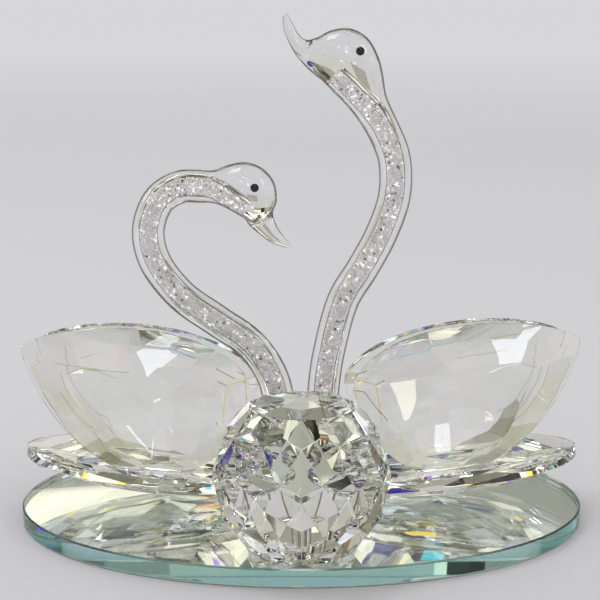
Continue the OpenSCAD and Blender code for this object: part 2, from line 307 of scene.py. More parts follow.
def plateGlass(patches):
    material, tree, shader = newMaterial("plateGlass")
    setInputs(shader, {"Base Color": (1, 1, 1, 1), "IOR": plate["ior"], "Transmission Weight": 1.0})
    marks = addMarks(tree, shader, plate["markScale"], plate["clean"], plate["smudged"])
    ground = addNode(tree, "Attribute", attribute_name="arris")
    rougher = addNode(tree, "Math", operation="MULTIPLY_ADD")
    rougher.inputs[1].default_value = plate["arrisRoughness"]
    tree.links.new(ground.outputs["Fac"], rougher.inputs[0])
    tree.links.new(marks.outputs["Roughness"], rougher.inputs[2])
    tree.links.new(rougher.outputs[0], shader.inputs["Roughness"])
    addContacts(tree, shader, patches)
    depth = addNode(tree, "VolumeAbsorption")
    setInputs(depth, {"Color": (*plate["tint"], 1), "Density": plate["density"]})
    tree.links.new(depth.outputs["Volume"], tree.nodes["Material Output"].inputs["Volume"])
    return material


silver = {"roughness": 0.02, "cloudScale": 25.0, "cloudDetail": 5.0,
          "dull": (0.3, (0.88, 0.9, 0.89)), "bright": (0.6, (0.94, 0.95, 0.94))}
paint = {"roughness": 0.55, "grainScale": 900.0, "grainDetail": 3.0, "relief": 0.3,
         "dark": (0.35, (0.075, 0.08, 0.085)), "light": (0.7, (0.14, 0.15, 0.155))}


def silverCoat():
    material, tree, shader = newMaterial("silverCoat")
    setInputs(shader, {"Metallic": 1.0, "Roughness": silver["roughness"]})
    where = addNode(tree, "TexCoord")
    cloud = addNode(tree, "TexNoise", Scale=silver["cloudScale"], Detail=silver["cloudDetail"])
    shades = twoTones(tree, silver["dull"], silver["bright"])
    tree.links.new(where.outputs["Object"], cloud.inputs["Vector"])
    tree.links.new(cloud.outputs["Fac"], shades.inputs["Fac"])
    tree.links.new(shades.outputs["Color"], shader.inputs["Base Color"])
    return material


def backPaint():
    material, tree, shader = newMaterial("backPaint")
    setInputs(shader, {"Roughness": paint["roughness"]})
    where = addNode(tree, "TexCoord")
    grain = addNode(tree, "TexNoise", Scale=paint["grainScale"], Detail=paint["grainDetail"])
    shades = twoTones(tree, paint["dark"], paint["light"])
    relief = addNode(tree, "Bump", Strength=paint["relief"], Distance=marksLook["reliefDepth"])
    tree.links.new(where.outputs["Object"], grain.inputs["Vector"])
    tree.links.new(grain.outputs["Fac"], shades.inputs["Fac"])
    tree.links.new(shades.outputs["Color"], shader.inputs["Base Color"])
    tree.links.new(grain.outputs["Fac"], relief.inputs["Height"])
    tree.links.new(relief.outputs["Normal"], shader.inputs["Normal"])
    return material


def layMirror():
    low, high = [corner * 1000 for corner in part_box("plate_silver")]
    half = (high - low) / 2
    corners = ovalCorners((low + high) / 2, half.x, half.y, low.z, plate["edges"])
    piece = growSlab("mirror_silver", corners, (0, 0, 2 * half.z + plate["sink"]))
    editMode(False)
    shadeByAngle(piece, plate["smoothTo"])
    putInPlace(piece, Matrix())
    return piece


# ---- main sizes of the swans and the ball, and where the adhesive is ----

swan = {
    "bodyLen": 88.5, "bodyW": 42, "rim": 4, "crown": 0.6, "tilt": 6.6, "lift": 8.7, "glue": 0.3,
    "outline": 120, "offAxis": 0.001, "full": 2.8, "taper": 0.62,  # how full and how pointed the leaf is
    "crownFacets": 16, "table": 0.9, "sideFacets": 12, "lowShare": 0.66, "lowOver": 1.3,
    "belly": (0.13, 0.12, 0.17), "bellyReach": 0.85,  # place, length and width as shares of the body's
    "wingSpread": 12.5, "padX": 44, "padHalf": (9.35, 1.53), "padRoom": (1.2, 1.35), "patchHigh": 0.5,
    # painted flashes: place, how far round it, largest facet, share of the facets, colours
    "paintedFlashes": [((34, -12, 0), 9, 5, 0.2, ["yellow", "cyan"])], "seed": 21,
}
bodyX = (bodyLow.x + bodyHigh.x) / 2
bodyZ = plateTop + swan["lift"]
deck = swan["rim"] / 2 + swan["crown"]
tilt = math.radians(swan["tilt"])
bodyHalf = swan["bodyLen"] / 2
atBody = Matrix.Translation((bodyX, swanY, bodyZ)) @ Matrix.Rotation(-tilt, 4, "Y")
bellyX = -swan["bodyLen"] * swan["belly"][0]
bellyL, bellyW = swan["bodyLen"] * swan["belly"][1], swan["bodyW"] * swan["belly"][2]
deckPlane = [Vector((x, y, deck + swan["glue"])) for x, y in ((0, 0), (10, 0), (0, 10))]  # top of the adhesive
overDeck = Vector((0, 0, 60))

ballShape = {
    "r": 26.4, "sides": 12, "foot": 0.26, "footIn": 0.5, "drop": 0.82, "rise": 0.81,
    "firstRow": 18, "secondRow": 28, "rowCount": 13, "rowGap": 1.5,
    "blank": 1.2, "blankSides": 24, "blankRings": 16, "flatTo": 1,
    # the darkest painted shade of the ball's facets, and painted dark reflections on its lower right
    "paintedShade": (0.66, 0.65, 0.54), "paintedFlashes": [((26.4, -8, -8), 14, 130, 0.6, ["olive", "smoke"])], "seed": 11,
}
ballX, ballY = (ballLow.x + ballHigh.x) / 2, (ballLow.y + ballHigh.y) / 2
ballZ = ballLow.z + ballShape["r"] * ballShape["drop"]


def swanPatches(mirrored):  # centre, turn and reach of each patch, in metres
    sign = -1 if mirrored else 1
    spots = []
    for side in (-1, 1):
        centre = atBody @ Vector((swan["padX"] - bodyX, side * swan["wingSpread"], deck + swan["glue"] / 2))
        reach = (*[half * room for half, room in zip(swan["padHalf"], swan["padRoom"])], swan["patchHigh"])
        spots.append(((sign * centre.x, centre.y, centre.z), (0, -sign * tilt, 0), reach))
    spots.append(((sign * (bodyX + bellyX * math.cos(tilt)), swanY, plateTop + swan["glue"] / 2),
                  (0, 0, 0), (bellyL * swan["bellyReach"], bellyW * swan["bellyReach"], swan["patchHigh"])))
    return [([v / 1000 for v in centre], turn, [v / 1000 for v in reach]) for centre, turn, reach in spots]


def ballPatch():
    reach = ballShape["r"] * ballShape["foot"] - ballShape["footIn"]
    centre = (ballX, ballY, plateTop + swan["glue"] / 2)
    return [([v / 1000 for v in centre], (0, 0, 0), [reach / 1000, reach / 1000, swan["patchHigh"] / 1000])]


# ---- crystal ----

crystal = {
    "ior": 1.56, "bevel": 0.10, "sharpness": 5, "flatTo": 4.5, "markScale": 55, "clean": 0.0, "smudged": 0.012,
    "clear": (0.995, 0.995, 0.985), "paintedShade": (0.90, 0.905, 0.85),  # the range of the painted shade on the facets, from clear to darkest
    "rare": 2, "tell": 8,  # how rare the most shaded facets are, and how finely facets are told apart
}


def crystalGlass(name, patches):
    material, tree, shader = newMaterial(name)
    setInputs(shader, {"IOR": crystal["ior"], "Transmission Weight": 1.0})
    addMarks(tree, shader, crystal["markScale"], crystal["clean"], crystal["smudged"])
    # the painted facet shade and painted flashes make the glass's base colour
    tint = addNode(tree, "Attribute", attribute_name="paintedFacetLight")
    tree.links.new(tint.outputs["Color"], shader.inputs["Base Color"])
    addContacts(tree, shader, patches)
    return material


# painted flashes: fire colours standing in for dispersion, and olive and smoke for painted dark reflections
paintedFlashTones = {
    "blue": (0.22, 0.2, 0.95), "violet": (0.6, 0.42, 1.0), "cyan": (0.3, 0.9, 1.0),
    "yellow": (1.0, 0.85, 0.15), "orange": (1.0, 0.5, 0.12), "olive": (0.6, 0.61, 0.42),
    "smoke": (0.25, 0.25, 0.2),
}


# ---- ball: rows of kites cut from a turned blank ----

def ballRows():
    r = ballShape["r"]
    half = math.pi / ballShape["sides"]
    first, second = [math.radians(ballShape[name]) for name in ("firstRow", "secondRow")]
    p, q = Vector((math.sin(first), math.cos(first))) * r, Vector((math.sin(second), math.cos(second))) * r
    rows = [p, q]
    while len(rows) <= ballShape["rowCount"]:
        side = Vector((rows[-1].x * math.cos(half), rows[-1].y))
        d = side - rows[-2]
        rows.append(rows[-2] - 2 * rows[-2].dot(d) / d.dot(d) * d)
    return rows


def cutBall():
    r, sides = ballShape["r"], ballShape["sides"]
    rows = ballRows()
    low, high = -r * ballShape["drop"], r * ballShape["rise"]
    deselectAll()
    bpy.ops.mesh.primitive_uv_sphere_add(segments=ballShape["blankSides"], ring_count=ballShape["blankRings"],
                                         radius=r * ballShape["blank"])
    piece = bpy.context.object
    piece.name = "cut_ball"
    editMode(True)
    for level, up in ((low, -1), (high, 1)):
        cutFacet((0, 0, level), (1, 0, level), (0, 1, level), (0, 0, level - up))
    half = math.pi / sides
    for index in range(len(rows) - 2):
        if not low + ballShape["rowGap"] < rows[index + 1].y < high - ballShape["rowGap"]:
            continue
        for k in range(sides):
            angle = (2 * k + index % 2) * half
            out = Vector((math.cos(angle), math.sin(angle), 0))
            along = Vector((-math.sin(angle), math.cos(angle), 0))
            a = out * rows[index].x + Vector((0, 0, rows[index].y))
            b = out * rows[index + 2].x + Vector((0, 0, rows[index + 2].y))
            cutFacet(a, b, a + along, (0, 0, 0))
    polishEdges(piece, crystal["bevel"], crystal["sharpness"])
    shadeByAngle(piece, ballShape["flatTo"])
    paintFacetLight(piece, ballShape["paintedShade"], ballShape["paintedFlashes"], ballShape["seed"])
    putInPlace(piece, Matrix.Translation((ballX, ballY, ballZ)))
    return piece


# ---- bodies: leaf shaped slabs, flat on top and faceted below ----

def leafWidth(u):
    return max(0.0, 1 - abs(u) ** swan["full"]) ** swan["taper"]


def leafPoint(degrees, share, height):
    a = math.radians(degrees)
    wide = math.sin(a) and math.copysign(leafWidth(math.cos(a)), math.sin(a))
    return Vector((bodyHalf * share * math.cos(a), swan["bodyW"] / 2 * share * wide, height))


def levelOver(x, height):  # local height of a level that lies this high over the plate
    return (height - swan["lift"] - x * math.sin(tilt)) / math.cos(tilt)


def bodyCorners():
    step = 360 / swan["outline"]
    return [leafPoint(step * k + swan["offAxis"], 1, -swan["lift"]) for k in range(swan["outline"])]


def lowPoint(degrees):
    p = leafPoint(degrees, swan["lowShare"], 0)
    p.z = max(-swan["lift"] * swan["lowShare"], levelOver(p.x, swan["lowOver"]))
    return p


def footPoint(degrees):
    a = math.radians(degrees)
    x = bellyX + bellyL * math.cos(a)
    return Vector((x, bellyW * math.sin(a), levelOver(x, swan["glue"])))


def cutBody(name, mirrored, seed):
    piece = growSlab(name, bodyCorners(), (0, 0, deck + swan["lift"]))
    middle = (0, 0, 0)
    rim = swan["rim"] / 2
    spread = 180 / swan["crownFacets"]
    for k in range(swan["crownFacets"]):  # crown facets round the flat top
        a = (2 * k + 1) * spread
        cutFacet(leafPoint(a - spread, 1, rim), leafPoint(a + spread, 1, rim),
                 leafPoint(a, swan["table"], deck), middle)
    spread = 180 / swan["sideFacets"]
    for k in range(swan["sideFacets"]):  # facets from the rim down
        a = (2 * k + 1) * spread
        cutFacet(leafPoint(a - spread, 1, -rim), leafPoint(a + spread, 1, -rim), lowPoint(a), middle)
    for k in range(swan["sideFacets"]):  # facets from there to the foot
        a = 2 * k * spread
        cutFacet(lowPoint(a - spread), lowPoint(a + spread), footPoint(a), middle)
    cutFacet(*[footPoint(a) for a in (0, 120, 240)], middle)
    polishEdges(piece, crystal["bevel"], crystal["sharpness"])
    shadeByAngle(piece, crystal["flatTo"])
    paintFacetLight(piece, crystal["paintedShade"], swan["paintedFlashes"], seed)
    putInPlace(piece, atBody, mirrored)
    return piece


# ---- wings ----

wing = {
    "len": 73.5, "up": 13, "down": 33.5, "rim": 2.6, "swell": 3.4, "lean": 10, "yaw": 4,
    "outline": 120, "tipFall": 0.76, "upRise": 0.54, "downRise": 0.46, "middle": 0.42,
    # one value here is the darkest painted shade of the wing's facets
    "paintedShade": (0.95, 0.955, 0.91), "bevel": 0.18, "ring": 0.74, "ringRise": 0.48, "frontRing": 12, "rearRing": 20,
    "rearIn": 2.5, "rearDrop": 2.5, "rootX": 16.8, "rootZ": 24.5, "pitch": {"left": 12, "right": 14},
    "ridge": {"in": (32.6, -1.7), "out": (51.2, -6.1), "low": (28, -13), "high": (44, -8)},
    # facets between the ridge and the ring: the ridge's end, the middle of the facet and half its spread
    "frontStars": [("in", 88, 14), ("out", 122, 18), ("out", 168, 26), ("out", 222, 24),
                   ("in", 258, 14), ("in", 300, 24), ("in", 352, 26), ("in", 48, 22)],
    "rearStars": [("high", 70, 22), ("high", 112, 18), ("high", 160, 28), ("low", 215, 26),
                  ("low", 268, 20), ("low", 318, 26), ("low", 12, 30)],
    # painted flashes of fire and dark reflections at three places on the wing
    "paintedFlashes": [((2, 0, -6), 12, 40, 0.45, ["yellow", "orange", "olive", "smoke"]),
                ((24, 0, 10), 12, 5, 0.35, ["cyan", "violet", "blue"]),
                ((48, 0, -18), 18, 60, 0.5, ["olive"])], "seed": 31,
}


def edgeCurve(s, shape):
    fall = wing["tipFall"]
    top = shape / (shape + fall)
    return s ** shape * max(0.0, 1 - s) ** fall / (top ** shape * (1 - top) ** fall)


def wingPoint(degrees, share, y):
    a = math.radians(degrees)
    s = min(1.0, max(0.0, (1 - math.cos(a)) / 2))
    v = 0.0
    if abs(math.sin(a)) > 0.001:
        if math.sin(a) > 0:
            v = wing["up"] * edgeCurve(s, wing["upRise"])
        else:
            v = -wing["down"] * edgeCurve(s, wing["downRise"])
    centre = Vector((wing["len"] * wing["middle"], 0, (wing["up"] - wing["down"]) / 2))
    rim = Vector((wing["len"] * s, 0, v))
    return centre + (rim - centre) * share + Vector((0, y, 0))


def cutWing(name, side, pitch, mirrored, seed):
    half, thick = wing["rim"] / 2, wing["rim"] / 2 + wing["swell"]
    corners = [wingPoint(360 / wing["outline"] * k, 1, -thick) for k in range(wing["outline"])]
    piece = growSlab(name, corners, (0, 2 * thick, 0))
    middle = wingPoint(90, 0, 0)
    for face in (-1, 1):
        ringHeight = face * (half + wing["swell"] * wing["ringRise"])
        count = wing["frontRing" if face < 0 else "rearRing"]
        for k in range(count):
            spread = 180 / count
            a = (2 * k + (face > 0)) * spread
            cutFacet(wingPoint(a - spread, 1, face * half), wingPoint(a + spread, 1, face * half),
                     wingPoint(a, wing["ring"], ringHeight), middle)
        for near, a, spread in wing["frontStars" if face < 0 else "rearStars"]:
            ridge = Vector((*wing["ridge"][near], 0)).xzy + Vector((0, face * thick, 0))
            ring = [wingPoint(b, wing["ring"], ringHeight) for b in (a - spread, a + spread)]
            cutFacet(ridge, *ring, middle)
    root = Vector((wing["rootX"] - (wing["rearIn"] if side > 0 else 0), swanY,
                   bodyZ + deck + wing["rootZ"] - (wing["rearDrop"] if side > 0 else 0)))
    lean = math.radians(wing["lean"])
    out = Vector((0, side * (swan["wingSpread"] - wing["rootZ"] * math.sin(lean)), 0))
    place = (Matrix.Translation(root + out) @ Matrix.Rotation(side * math.radians(wing["yaw"]), 4, "Z")
             @ Matrix.Rotation(side * lean, 4, "X") @ Matrix.Rotation(-math.radians(pitch), 4, "Y"))
    back = place.inverted()
    cutFacet(*[back @ (atBody @ p) for p in deckPlane], back @ (atBody @ overDeck))  # foot on the adhesive
    polishEdges(piece, wing["bevel"], crystal["sharpness"])
    shadeByAngle(piece, crystal["flatTo"])
    paintFacetLight(piece, wing["paintedShade"], wing["paintedFlashes"], seed)
    putInPlace(piece, place, mirrored)
    return piece


# ---- necks and heads: blown in one from a thick walled tube ----

neck = {
    "outer": 5.25, "bore": 3.0, "boreFrom": 10, "boreEnds": 0.55, "around": 40, "steps": 6, "smoothTo": 42,
    "left": [(-11.5, 4.5), (-8.2, 14), (-7, 25), (-9.3, 38), (-16.5, 49), (-27.5, 57), (-38.5, 65),
             (-46.5, 75.5), (-48.8, 86), (-45.5, 95.5), (-39, 100), (-32.8, 100.4), (-27.2, 99.6),
             (-21.8, 97.2), (-17, 93.8)],
    "right": [(12, 4.5), (8.6, 13), (6.9, 22.5), (7.1, 33), (8.8, 46), (13.2, 63), (19.6, 74), (25.4, 85),
              (29.4, 97), (29.4, 108.5), (26.1, 117.5), (21.8, 124.6), (16.4, 131), (11, 136.4)],
    "headSteps": 5, "headHalf": 8, "leftHeadAt": 11, "rightHeadAt": 10,
    # each station: the outline's point on the left of the way, the one on the right, and the half width's share
    "leftHead": [(-27.9, 105.5, -28.4, 95.1, 0.68), (-23.2, 107.2, -25.2, 94.1, 0.84),
                 (-17.8, 108.1, -22, 92.4, 0.97), (-12.4, 106.2, -19.5, 90.9, 1),
                 (-8.6, 101.8, -17.9, 89.8, 0.9), (-7.7, 96, -17.2, 88.7, 0.7), (-9, 91.8, -16.3, 87.6, 0.45),
                 (-7.8, 87.7, -13.8, 85.4, 0.34), (-5.2, 83.8, -9.4, 82.2, 0.22), (-3, 81, -4, 80.5, 0.05)],
    "rightHead": [(17.7, 121.3, 26.8, 128.5, 0.74), (13.6, 126.3, 25.6, 135, 0.88),
                  (9.5, 130.4, 24.1, 140.8, 0.98), (6.4, 133.5, 20.6, 146.7, 1), (4.2, 135.2, 15, 149.7, 0.92),
                  (2.2, 136.9, 9.2, 149.1, 0.74), (0.2, 139, 4.6, 146.8, 0.5), (-1.9, 141.6, 1.4, 146.2, 0.36),
                  (-3.8, 145, -0.9, 147.9, 0.28), (-5.5, 149.3, -2.7, 151.1, 0.2),
                  (-5.8, 153.3, -4.4, 154.2, 0.09)],
}
# the walls' colour seen face on, and painted shade where they are seen edge on, standing in for the dark lines
# in the thick walls
blown = {"ior": 1.48, "markScale": 45, "clean": 0.0, "smudged": 0.008, "relief": 0.04,
         "faceOn": (0.5, (0.992, 0.99, 0.992)), "paintedEdgeShade": (0.64, (0.012, 0.012, 0.011))}


def smoothLine(points, steps):
    def near(i):
        return Vector(points[max(0, min(len(points) - 1, i))])
    line = []
    for i in range(len(points) - 1):
        a, b, c, d = near(i - 1), near(i), near(i + 1), near(i + 2)
        for k in range(steps):
            t = k / steps
            line.append(0.5 * (2 * b + (c - a) * t + (2 * a - 5 * b + 4 * c - d) * t ** 2
                               + (3 * b - a - 3 * c + d) * t ** 3))
    return line + [near(len(points) - 1)]


def roundStation(line, i, radius):  # a station of a round tube, as two outline points and a half width
    ahead = line[min(len(line) - 1, i + 1)] - line[max(0, i - 1)]
    left = Vector((-ahead.y, ahead.x)).normalized() * radius
    return (*(line[i] + left), *(line[i] - left), radius)


def rodStations(line, first, last, radius, ends):  # stations of a round rod with drawn in ends
    return [roundStation(line, i, radius * (ends if i in (first, last - 1) else 1)) for i in range(first, last)]


def stationRing(station):
    ax, az, bx, bz, half = station
    ring = []
    for k in range(neck["around"]):
        a = 2 * math.pi * k / neck["around"]
        ring.append(Vector(((ax + bx) / 2 + (ax - bx) / 2 * math.cos(a), swanY + half * math.sin(a),
                            plateTop + (az + bz) / 2 + (az - bz) / 2 * math.cos(a))))
    return ring


def drawTube(name, stations):  # extrudes a filled circle from ring to ring
    rings = [stationRing(station) for station in stations]
    deselectAll()
    bpy.ops.mesh.primitive_circle_add(vertices=neck["around"], radius=1, fill_type="NGON")
    tube = bpy.context.object
    tube.name = name
    for vertex, spot in zip(tube.data.vertices, rings[0]):
        vertex.co = spot
    editMode(True)
    selectAll()
    for before, ring in zip(rings, rings[1:]):
        bpy.ops.mesh.extrude_region_move()
        mesh = bmesh.from_edit_mesh(tube.data)
        moved = [v for v in mesh.verts if v.select]
        goal = {tuple(round(value, 3) for value in old): new for old, new in zip(before, ring)}
        for v in moved:
            v.co = goal[tuple(round(value, 3) for value in v.co)]
        bmesh.update_edit_mesh(tube.data)
    selectAll()
    bpy.ops.mesh.normals_make_consistent(inside=False)
    return tube


def blowNeck(side):
    line = smoothLine(neck[side], neck["steps"])
    cut = neck[side + "HeadAt"] * neck["steps"]
    head = [(*station[:4], station[4] * neck["headHalf"]) for station in neck[side + "Head"]]
    tube = [roundStation(line, i, neck["outer"]) for i in range(cut + 1)]
    joint = [tube[-neck["headSteps"]], tube[-1]] + head
    headLine = smoothLine(joint, neck["headSteps"])[neck["headSteps"]:]
    glass = drawTube(side + "_neck_and_head", tube[:-1] + headLine)
    foot, above = [atBody @ p for p in deckPlane], atBody @ overDeck
    if side == "left":
        foot, above = [mirrorLeft @ p for p in foot], mirrorLeft @ above
    cutFacet(*foot, above)
    editMode(False)
    bore = drawTube(side + "_bore",
                    rodStations(line, neck["boreFrom"], len(line), neck["bore"], neck["boreEnds"]))
    bpy.ops.mesh.flip_normals()
    editMode(False)
    deselectAll()
    bore.select_set(True)
    glass.select_set(True)
    bpy.context.view_layer.objects.active = glass
    bpy.ops.object.join()
    shadeByAngle(glass, neck["smoothTo"])
    putInPlace(glass, Matrix())
    return glass, line


def blownGlass():
    material, tree, shader = newMaterial("blownGlass")
    setInputs(shader, {"IOR": blown["ior"], "Transmission Weight": 1.0})
    addMarks(tree, shader, blown["markScale"], blown["clean"], blown["smudged"], blown["relief"])
    paintedEdgeShade = addNode(tree, "LayerWeight")
    shades = twoTones(tree, blown["faceOn"], blown["paintedEdgeShade"])  # painted shade: the walls' colour darkens where they are seen edge on
    tree.links.new(paintedEdgeShade.outputs["Facing"], shades.inputs["Fac"])
    tree.links.new(shades.outputs["Color"], shader.inputs["Base Color"])
    return material


# ---- crystal chips in the necks ----

chips = {
    "count": 3600, "least": 0.26, "most": 0.5, "first": 11, "fromEnd": 1.5, "play": 0.05, "inner": 0.6,
    "spin": 6.28, "seed": 5, "cuts": [((0.55, 0, 0), (0.45, 1, 0.1), (0.5, 0, 1)),
                                      ((0, -0.6, 0), (1, -0.5, 0), (0.1, -0.55, 1)),
                                      ((-0.2, 0.1, 0.62), (1, 0, 0.5), (0, 1, 0.7))],
    "greys": (0.72, 1.0), "rose": (1, 0.955, 0.965), "glow": 0.16,
    "paintedGlintFrom": 0.9, "paintedGlint": 0.65, "darkTo": 0.05, "dark": (0.2, 0.19, 0.2),  # painted glow on every chip, painted white glints on the bright ones, and painted shade on the dark ones, which stand for the dark rings of bubbles
    "core": 2.2, "coreFrom": 12, "coreEnds": 0.6, "coreTint": (0.95, 0.91, 0.92),
}
chipFinish = {"IOR": 1.5, "Roughness": 0.3, "Coat Weight": 0.5, "Coat Roughness": 0.03,
              "Emission Strength": 1.0}
chipCloud = {"scale": 700.0, "detail": 3.0, "from": 0.9, "to": 1.08}


def breakChip():
    deselectAll()
    bpy.ops.mesh.primitive_ico_sphere_add(subdivisions=1, radius=1)
    chip = bpy.context.object
    editMode(True)
    for a, b, c in chips["cuts"]:
        cutFacet(a, b, c, (0, 0, 0))
    editMode(False)
    shape = ([v.co.copy() for v in chip.data.vertices], [tuple(f.vertices) for f in chip.data.polygons])
    bpy.data.objects.remove(chip)
    return shape


def fillNeck(side, line, chip):
    draw = random.Random(f"{chips['seed']} {side}")
    places, faces, tints, glows = [], [], [], []
    for _ in range(chips["count"]):
        at = draw.uniform(chips["first"], len(line) - chips["fromEnd"])
        i, t = int(at), at % 1
        spot = line[i].lerp(line[i + 1], t)
        ahead = (line[i + 1] - line[i]).normalized()
        size = draw.uniform(chips["least"], chips["most"])
        radius = (neck["bore"] - chips["play"] - size) * math.sqrt(draw.uniform(chips["inner"], 1))
        a = draw.uniform(0, 2 * math.pi)
        left = Vector((-ahead.y, ahead.x)) * radius * math.cos(a)
        centre = Vector((spot.x + left.x, swanY + radius * math.sin(a), plateTop + spot.y + left.y))
        spin = draw.uniform(0, chips["spin"])
        turn = Matrix.Rotation(spin, 3, Vector([draw.gauss(0, 1) for _ in range(3)]).normalized())
        base = len(places)
        places += [centre + turn @ (co * size) for co in chip[0]]
        faces += [tuple(base + v for v in face) for face in chip[1]]
        # every chip gets a painted glow, a few a white painted glint, and a few painted shade
        kind = draw.random()
        grey = draw.uniform(*chips["greys"])
        colour, glow = tuple(grey * share for share in chips["rose"]), chips["glow"]
        if kind > chips["paintedGlintFrom"]:
            colour, glow = (1, 1, 1), chips["paintedGlint"]
        elif kind < chips["darkTo"]:
            colour, glow = chips["dark"], 0
        corners = sum(len(face) for face in chip[1])
        tints += [colour] * corners
        glows += [glow] * corners
    mesh = bpy.data.meshes.new(side + "_chips_fill")
    mesh.from_pydata(places, [], faces)
    tint = mesh.attributes.new("chipTint", "FLOAT_COLOR", "CORNER")
    for corner, colour in zip(tint.data, tints):
        corner.color = (*colour, 1)
    shine = mesh.attributes.new("paintedChipGlow", "FLOAT", "CORNER")
    shine.data.foreach_set("value", glows)
    grains = bpy.data.objects.new(side + "_chips_fill", mesh)
    bpy.context.scene.collection.objects.link(grains)
    core = drawTube(side + "_core",
                    rodStations(line, chips["coreFrom"], len(line) - 1, chips["core"], chips["coreEnds"]))
    editMode(False)
    tint = core.data.attributes.new("chipTint", "FLOAT_COLOR", "CORNER")
    for corner in tint.data:
        corner.color = (*chips["coreTint"], 1)
    deselectAll()
    core.select_set(True)
    grains.select_set(True)
    bpy.context.view_layer.objects.active = grains
    bpy.ops.object.join()
    putInPlace(grains, Matrix())
    return grains


def chipStone():
    material, tree, shader = newMaterial("crushedCrystal")
    setInputs(shader, chipFinish)
    shine = addNode(tree, "Attribute", attribute_name="paintedChipGlow")  # painted glow, standing in for the light that the clear chips pass on
    tree.links.new(shine.outputs["Fac"], shader.inputs["Emission Color"])
    tint = addNode(tree, "Attribute", attribute_name="chipTint")
    where = addNode(tree, "TexCoord")
    cloud = addNode(tree, "TexNoise", Scale=chipCloud["scale"], Detail=chipCloud["detail"])
    shades = addNode(tree, "MapRange")
    setInputs(shades, {"To Min": chipCloud["from"], "To Max": chipCloud["to"]})
    strength = addNode(tree, "VectorMath", operation="SCALE")
    tree.links.new(where.outputs["Object"], cloud.inputs["Vector"])
    tree.links.new(cloud.outputs["Fac"], shades.inputs["Value"])
    tree.links.new(tint.outputs["Color"], strength.inputs[0])
    tree.links.new(shades.outputs["Result"], strength.inputs["Scale"])
    tree.links.new(strength.outputs["Vector"], shader.inputs["Base Color"])
    return material


# ---- eyes ----

eye = {"radius": 1.35, "depth": 0.75, "left": (-14.6, 100.9), "right": (18, 143), "out": 7.55,
       "around": 28, "rings": 14, "behind": 0.12, "smoothTo": 50}
enamelFinish = {"Specular IOR Level": 0.3, "Coat Weight": 0.35, "Coat Roughness": 0.03}
enamel = {"markScale": 900, "clean": 0.05, "smudged": 0.2, "relief": 0.1, "cloudScale": 1400.0,
          "dark": (0, (0.004, 0.004, 0.005)), "light": (1, (0.02, 0.019, 0.022))}
adhesive = {"tint": (0.9, 0.93, 0.92, 1), "roughness": 0.1, "cloudScale": 1200.0, "cloudDetail": 4.0,
            "haze": {"From Min": 0.5, "From Max": 0.85, "To Min": 0.01, "To Max": 0.12}}


def paintEyes(side):
    x, z = eye[side]
    made = []
    for hand in (-1, 1):
        deselectAll()
        bpy.ops.mesh.primitive_uv_sphere_add(segments=eye["around"], ring_count=eye["rings"],
                                             radius=eye["radius"])
        dot = bpy.context.object
        editMode(True)
        selectAll()
        bpy.ops.transform.resize(value=(1, 1, eye["depth"] / eye["radius"]))
        cutFacet((0, 0, -eye["behind"]), (1, 0, -eye["behind"]), (0, 1, -eye["behind"]), (0, 0, 1))
        editMode(False)
        dot.data.transform(Matrix.Translation((x, swanY + hand * eye["out"], plateTop + z))
                           @ Matrix.Rotation(-hand * math.pi / 2, 4, "X"))
        made.append(dot)
    deselectAll()
    for dot in made:
        dot.select_set(True)
    bpy.context.view_layer.objects.active = made[0]
    bpy.ops.object.join()
    made[0].name = side + "_eye_dots"
    shadeByAngle(made[0], eye["smoothTo"])
    putInPlace(made[0], Matrix())
    return made[0]


def eyeEnamel():
    material, tree, shader = newMaterial("blackEnamel")
    setInputs(shader, enamelFinish)
    addMarks(tree, shader, enamel["markScale"], enamel["clean"], enamel["smudged"], enamel["relief"])
    where = addNode(tree, "TexCoord")
    cloud = addNode(tree, "TexNoise", Scale=enamel["cloudScale"])
    shades = twoTones(tree, enamel["dark"], enamel["light"])
    tree.links.new(where.outputs["Object"], cloud.inputs["Vector"])
    tree.links.new(cloud.outputs["Fac"], shades.inputs["Fac"])
    tree.links.new(shades.outputs["Color"], shader.inputs["Base Color"])
    return material


def clearAdhesive():
    material, tree, shader = newMaterial("clearAdhesive")
    setInputs(shader, {"Base Color": adhesive["tint"], "Roughness": adhesive["roughness"]})
    where = addNode(tree, "TexCoord")
    cloud = addNode(tree, "TexNoise", Scale=adhesive["cloudScale"], Detail=adhesive["cloudDetail"])
    haze = addNode(tree, "MapRange")
    setInputs(haze, adhesive["haze"])
    tree.links.new(where.outputs["Object"], cloud.inputs["Vector"])
    tree.links.new(cloud.outputs["Fac"], haze.inputs["Value"])
    tree.links.new(haze.outputs["Result"], shader.inputs["Alpha"])
    return material


# ---- making the pieces ----

plateTopPatches = ballPatch() + swanPatches(False)[2:] + swanPatches(True)[2:]
platePiece = cutPlate()
platePiece.data.materials.append(plateGlass(plateTopPatches))
handOver(platePiece, "plate_glass", "plate_glass")
mirrorPiece = layMirror()
mirrorPiece.data.materials.append(silverCoat())
handOver(mirrorPiece, "plate_silver", "plate_silver")


def recoat(node, material):
    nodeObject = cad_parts[node]
    nodeObject.data.materials.clear()
    nodeObject.data.materials.append(material)


recoat("plate_paint", backPaint())
print("plate made")

ballPiece = cutBall()
ballPiece.data.materials.append(crystalGlass("ballCrystal", ballPatch()))
handOver(ballPiece, "crystal", "ball")
print("ball cut")

